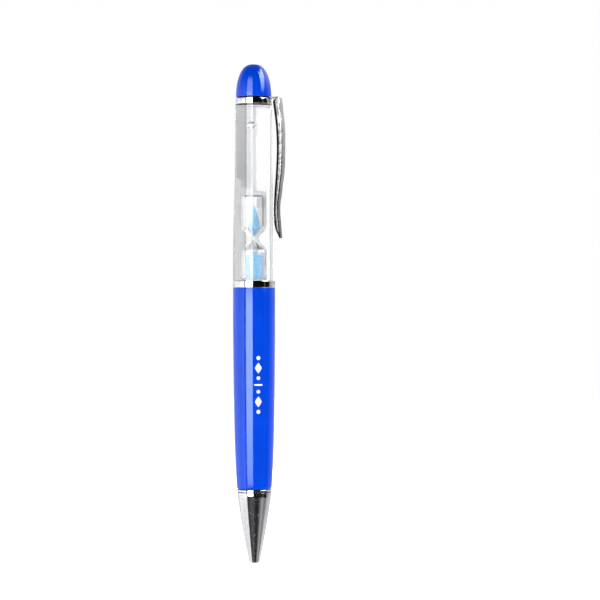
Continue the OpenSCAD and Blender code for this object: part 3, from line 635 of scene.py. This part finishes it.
# ------------------------------------------------------------------ return spring, with round wire
lo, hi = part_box("return_spring")
turns, wr, mr = 11, 0.2, 1.9
z0, z1 = lo.z / MM + wr, hi.z / MM - wr
n, m = turns * 30, 10
sv, sf = [], []
e, c = 1.5 / turns, 1.5 * (2 * wr + 0.03)
for i in range(n + 1):
    t = i / n
    h = c * t / e if t < e else ((z1 - z0) - c * (1 - t) / e if t > 1 - e else c + ((z1 - z0) - 2 * c) * (t - e) / (1 - 2 * e))
    a = 2 * math.pi * turns * t
    for j in range(m):
        b = 2 * math.pi * j / m
        r = mr + wr * math.cos(b)
        sv.append((r * math.cos(a), r * math.sin(a), z0 + h + wr * math.sin(b)))
for i in range(n):
    for j in range(m):
        a, b = i * m + j, i * m + (j + 1) % m
        sf.append((a, a + m, b + m, b))
sf += [tuple(range(m)), tuple(n * m + j for j in range(m - 1, -1, -1))]
spring = dress(mesh_object("return_spring_wire", sv, sf), STEEL)
place(spring, "lower", "spring_steel", "return_spring")
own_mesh(spring)

# ------------------------------------------------------------------ nodes that stay as the frame has them
for node, mat in {"fill_plug_seal": SILICONE, "chamber_plug": WHITE, "chamber_plug_seal": RUBBER, "retaining_ring": STEEL, "twist_drag_ring": RUBBER,
                  "twist_cam": WHITE, "guide_sleeve": BRASS, "cam_follower": BLACK, "nose_insert": BRASS, "nose_seal": RUBBER, "refill_tube": TUBE,
                  "refill_ink": INK, "refill_point": POINT, "refill_ball": CHROME, "refill_vent_plug": WHITE}.items():
    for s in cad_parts[node].material_slots:
        s.material = mat

# ------------------------------------------------------------------ stage, lights and camera
scene = bpy.context.scene
me = bpy.data.meshes.new("floor")
F = 2.0
me.from_pydata([(-F, -F, 0), (F, -F, 0), (F, F, 0), (-F, F, 0)], [], [(0, 1, 2, 3)])
floor = bpy.data.objects.new("floor", me)
scene.collection.objects.link(floor)
floor.location.z = (Z_TIP - 46) * MM
t = Tree("pale_floor")
p = t.add("BsdfPrincipled", {"Base Color": t.ramp(t.noise(3, 2), [(0.3, (0.93, 0.93, 0.93)), (0.7, (0.96, 0.96, 0.96))]), "Roughness": 0.9,
                             "Emission Color": (1, 1, 1, 1), "Emission Strength": 1.1})
floor.data.materials.append(t.surface(p.outputs[0]))
floor.visible_glossy = floor.visible_transmission = False

world = bpy.data.worlds.new("studio")
scene.world = world
world.use_nodes = True
w = Tree.__new__(Tree)
w.nt = world.node_tree
w.nt.nodes.clear()
w.out = w.nt.nodes.new("ShaderNodeOutputWorld")
direction = w.add("TexCoord").outputs["Generated"]


def math_node(op, a, b=0.0):
    return w.add("Math", {0: a, 1: b}, operation=op).outputs[0]


def dot(v):
    return w.add("VectorMath", {0: direction, 1: tuple(v)}, operation="DOT_PRODUCT").outputs["Value"]


phi = math_node("MULTIPLY", math_node("ARCTAN2", dot(RIGHT), dot(TOWARD)), 180 / math.pi)
elev = math_node("MULTIPLY", math_node("ARCSINE", dot((0, 0, 1))), 180 / math.pi)


def step(v, a, b, lo=0.0, hi=1.0):
    return w.add("MapRange", {"Value": v, "From Min": a, "From Max": b, "To Min": lo, "To Max": hi}).outputs["Result"]


def product(*v):
    out = v[0]
    for x in v[1:]:
        out = math_node("MULTIPLY", out, x)
    return out


def profile(v, stops):
    """A piecewise linear function of v."""
    lo, hi, top = stops[0][0], stops[-1][0], max(y for _, y in stops)
    col = w.ramp(step(v, lo, hi), [((x - lo) / (hi - lo), (y / top,) * 3) for x, y in stops])
    return math_node("MULTIPLY", w.add("SeparateColor", {"Color": col}).outputs[0], top)


def mixed(a, b, k):
    """a where k is 0, b where k is 1"""
    return math_node("ADD", product(a, math_node("SUBTRACT", 1.0, k)), product(b, k))


# walls of the tent round the pen, by the angle from the camera: white at the left, black cards in front, grey at the right and behind
wall = profile(phi, [(-180, 0.95), (-170, 0.95), (-160, 0.92), (-150, 0.91), (-140, 0.92), (-126, 1.02), (-110, 1.05), (-85, 1.05), (-62, 1.45), (-52.8, 1.5), (-51.8, 0.004), (-2, 0.004), (58.5, 0.004), (59.5, 0.11),
                     (64.5, 0.11), (66, 0.004), (91.5, 0.006), (94, 0.24), (99, 0.3), (108, 0.4), (117, 0.52), (126, 0.6), (131, 0.56), (163.8, 0.56), (165, 0.52),
                     (176.4, 0.52), (177.6, 0.84), (180, 0.93)])
low = profile(phi, [(-180, 0.8), (-168, 0.78), (-90, 0.84), (-62, 0.94), (-54, 0.95), (-51, 0.045), (-40, 0.045), (-20, 0.08), (-6, 0.08), (3, 0.042), (11, 0.018),
                    (28, 0.018), (33, 0.03), (39, 0.09), (44, 0.15), (52, 0.24), (60, 0.42), (66, 0.34), (72, 0.25), (83, 0.21), (90, 0.3), (97, 0.45), (110, 0.85),
                    (125, 0.8), (150, 0.78), (180, 0.8)])
behind = profile(elev, [(-90, 0.8), (-20, 1.0), (20, 1.0), (40, 0.55), (60, 0.3), (90, 0.3)])
left = profile(elev, [(-90, 0.8), (-20, 1.0), (3, 1.0), (8, 0.84), (14, 0.54), (24, 0.26), (30, 0.12), (40, 0.02), (90, 0.02)])
veil = profile(elev, [(-1, 1.15), (0, 1.17), (0.5, 1.2), (0.66, 1.22), (0.78, 1.08), (0.92, 0.94), (1.1, 0.87), (1.3, 0.84), (2.0, 0.8), (2.6, 0.81), (3.2, 0.85), (3.6, 0.88),
                      (4.1, 0.92), (4.8, 1.0), (5.6, 1.05)])
glow = profile(elev, [(-1, 0.8), (0.9, 0.8), (1.3, 0.92), (3.6, 0.93), (4.1, 0.9), (4.8, 0.76), (5.6, 0.74)])
wall = product(wall, mixed(behind, left, product(step(phi, -125, -100), step(phi, 60, 90, 1, 0))))
wall = product(wall, mixed(1.0, veil, step(phi, 118, 130)), mixed(1.0, glow, step(phi, -130, -118, 1, 0)))
wall = mixed(low, wall, step(elev, -19, -14))
box_l = product(step(phi, -44.6, -43.6), step(phi, -7.2, -6.2, 1, 0),
                profile(elev, [(-13.6, 0), (-12.4, 0.5), (-10, 0.6), (-7, 0.8), (-3, 1.0), (1, 1.0), (5, 1.1), (8, 0.95), (12, 0.58), (20, 0.52), (30, 0.46), (37, 0.12), (42, 0)]), 8.5)
edge_r = math_node("ADD", math_node("MULTIPLY", elev, 1.15), 60.0)
box_r = product(step(phi, 51.5, 54), step(math_node("SUBTRACT", phi, edge_r), -2, 2, 1, 0),
                profile(elev, [(9, 0), (11, 0.16), (14, 0.33), (19, 0.6), (31, 0.9), (44, 1.0), (52, 0.35), (57, 0)]), 11.0)
side_r = product(step(phi, 88, 94), step(phi, 150, 165, 1, 0), step(elev, 10, 25), step(elev, 45, 60, 1, 0), 1.2)
total = math_node("ADD", math_node("ADD", wall, box_l), math_node("ADD", box_r, side_r))
bg = w.add("Background", {"Color": w.add("CombineColor", {0: total, 1: total, 2: math_node("MULTIPLY", total, 1.01)}).outputs[0], "Strength": 1.0})
white = w.add("Background", {"Color": (1, 1, 1, 1), "Strength": 1.0})
both = w.add("MixShader", {0: w.add("LightPath").outputs["Is Camera Ray"], 1: bg.outputs[0], 2: white.outputs[0]})
w.nt.links.new(both.outputs[0], w.out.inputs["Surface"])
world.cycles_visibility.diffuse = False


def area(name, phi_deg, el, dist, size, radiance, colour=(1, 1, 1)):
    """A big soft panel that lights matt surfaces evenly. The reflections come from the tent."""
    a, e = math.radians(phi_deg), math.radians(el)
    d = (RIGHT * math.sin(a) + TOWARD * math.cos(a)) * math.cos(e) + Vector((0, 0, math.sin(e)))
    data = bpy.data.lights.new(name, "AREA")
    data.shape, data.size = "SQUARE", size
    data.energy = radiance * math.pi * size * size / 4 * 4
    data.color = colour
    ob = bpy.data.objects.new(name, data)
    scene.collection.objects.link(ob)
    ob.location = d * dist
    ob.rotation_euler = (-d).to_track_quat("-Z", "Y").to_euler()
    ob.visible_glossy = ob.visible_transmission = ob.visible_camera = False
    return ob


for k, (a, el, rad) in enumerate([(-75, 5, 1.9), (-25, 8, 1.9), (25, 8, 1.9), (75, 5, 1.9), (130, 5, 1.5), (180, 5, 1.5), (-130, 5, 1.5)]):
    area(f"panel_{k}", a, el, 0.9, 0.62, rad)
area("panel_top", 0, 88, 0.8, 0.7, 1.6)

DIST = 0.60
SCALE = 0.16866                                           # metres across the frame at the pen
LEAN = -0.1
cam = bpy.data.objects.new("camera", bpy.data.cameras.new("camera"))
scene.collection.objects.link(cam)
aim = RIGHT * 0.01293 + Vector((0, 0, -0.00347))
cam.location = aim + TOWARD * DIST
look = (aim - cam.location).to_track_quat("-Z", "Y")
look.rotate(Quaternion(TOWARD, math.radians(LEAN)))       # the pen leans a hair to the left
cam.rotation_euler = look.to_euler()
cam.data.sensor_width = 36
cam.data.lens = 36 * DIST / SCALE
cam.data.clip_start, cam.data.clip_end = 0.01, 20
scene.camera = cam
scene.view_settings.view_transform = "Standard"
scene.cycles.max_bounces = 28
scene.cycles.transmission_bounces = 24
scene.cycles.glossy_bounces = 8
scene.cycles.transparent_max_bounces = 24
